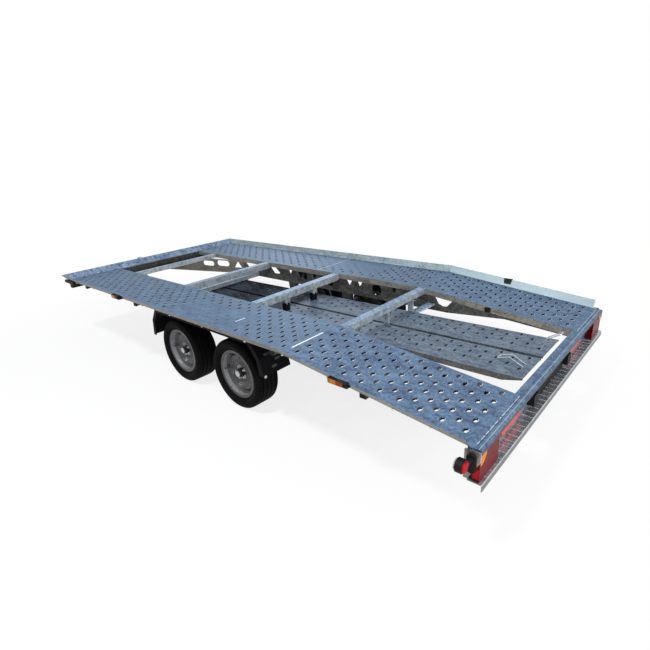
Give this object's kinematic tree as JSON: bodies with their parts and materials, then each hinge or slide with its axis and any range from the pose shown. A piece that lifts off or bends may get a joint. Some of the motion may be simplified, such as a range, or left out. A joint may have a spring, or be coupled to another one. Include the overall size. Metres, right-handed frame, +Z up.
{
  "type": "car hauler trailer",
  "caption": "Tandem-axle car transport trailer: two perforated galvanised running boards with folded lips, kinked rear deck, stowed loading ramps, V drawbar, ball coupling and jockey wheel.",
  "frame": {"origin": "on the ground under the middle of the bounding box", "axes": "+X forward to the coupling, +Y to the trailer's left, +Z up"},
  "size_m": [5.7004, 2.268, 0.688],
  "materials": {
    "zinc": "hot-dip galvanised, satin with spangle",
    "black_steel": "satin black",
    "hub_steel": "satin dark grey",
    "wheel_silver": "silver painted steel",
    "tyre": "matt rubber",
    "black_plastic": "matt moulded plastic",
    "lamp_red": "clear red lens",
    "lamp_amber": "amber lens"
  },
  "bodies": {
    "chassis": {"board_level_left": "zinc", "board_level_right": "zinc", "board_falling_left": "zinc", "board_falling_right": "zinc", "front_lip": "zinc", "rail_left": "zinc", "rail_right": "zinc", "drawbar_left": "zinc", "drawbar_right": "zinc", "cross_members": "zinc", "kink_beam": "zinc", "ramp_carriers": "zinc", "rear_beam": "zinc", "lamp_panel": "zinc", "outriggers": "zinc", "ramp_left": "zinc", "ramp_right": "zinc", "ramp_handles": "zinc", "overrun_housing": "zinc", "jockey_tube": "zinc", "ramp_clamps": "zinc", "axle_front": "black_steel", "axle_rear": "black_steel", "brake_rod": "black_steel", "coupling_head": "black_steel", "handbrake_lever": "black_steel", "ramp_pads": "black_plastic", "mudguards": "black_plastic", "plate_holder": "black_plastic", "outline_markers": "black_plastic", "coupling_bellows": "black_plastic", "rear_lamps": "lamp_red", "reflectors": "lamp_red", "side_markers": "lamp_amber"},
    "wheel_front_left": {"rim_front_left": "wheel_silver", "tyre_front_left": "tyre", "hub_front_left": "hub_steel"},
    "wheel_front_right": {"rim_front_right": "wheel_silver", "tyre_front_right": "tyre", "hub_front_right": "hub_steel"},
    "wheel_rear_left": {"rim_rear_left": "wheel_silver", "tyre_rear_left": "tyre", "hub_rear_left": "hub_steel"},
    "wheel_rear_right": {"rim_rear_right": "wheel_silver", "tyre_rear_right": "tyre", "hub_rear_right": "hub_steel"},
    "jockey_stem": {"jockey_inner": "zinc"},
    "jockey_caster": {"jockey_fork": "zinc"},
    "jockey_roller": {"jockey_wheel": "tyre"}
  },
  "joints": [
    {"name": "wheel_front_left_spin", "type": "hinge", "parent": "chassis", "child": "wheel_front_left", "pos_m": [-0.2845, 0.829, 0.2625], "axis": [0, 1, 0], "continuous": true},
    {"name": "wheel_front_right_spin", "type": "hinge", "parent": "chassis", "child": "wheel_front_right", "pos_m": [-0.2845, -0.829, 0.2625], "axis": [0, 1, 0], "continuous": true},
    {"name": "wheel_rear_left_spin", "type": "hinge", "parent": "chassis", "child": "wheel_rear_left", "pos_m": [-0.9995, 0.829, 0.2625], "axis": [0, 1, 0], "continuous": true},
    {"name": "wheel_rear_right_spin", "type": "hinge", "parent": "chassis", "child": "wheel_rear_right", "pos_m": [-0.9995, -0.829, 0.2625], "axis": [0, 1, 0], "continuous": true},
    {"name": "jockey_lift", "type": "slide", "parent": "chassis", "child": "jockey_stem", "axis": [0, 0, -1], "range_m": [0, 0.2]},
    {"name": "jockey_swivel", "type": "hinge", "parent": "jockey_stem", "child": "jockey_caster", "pos_m": [2.495, -0.20605, 0.222], "axis": [0, 0, 1], "continuous": true},
    {"name": "jockey_spin", "type": "hinge", "parent": "jockey_caster", "child": "jockey_roller", "pos_m": [2.469, -0.20605, 0.1], "axis": [0, 1, 0], "continuous": true}
  ]
}
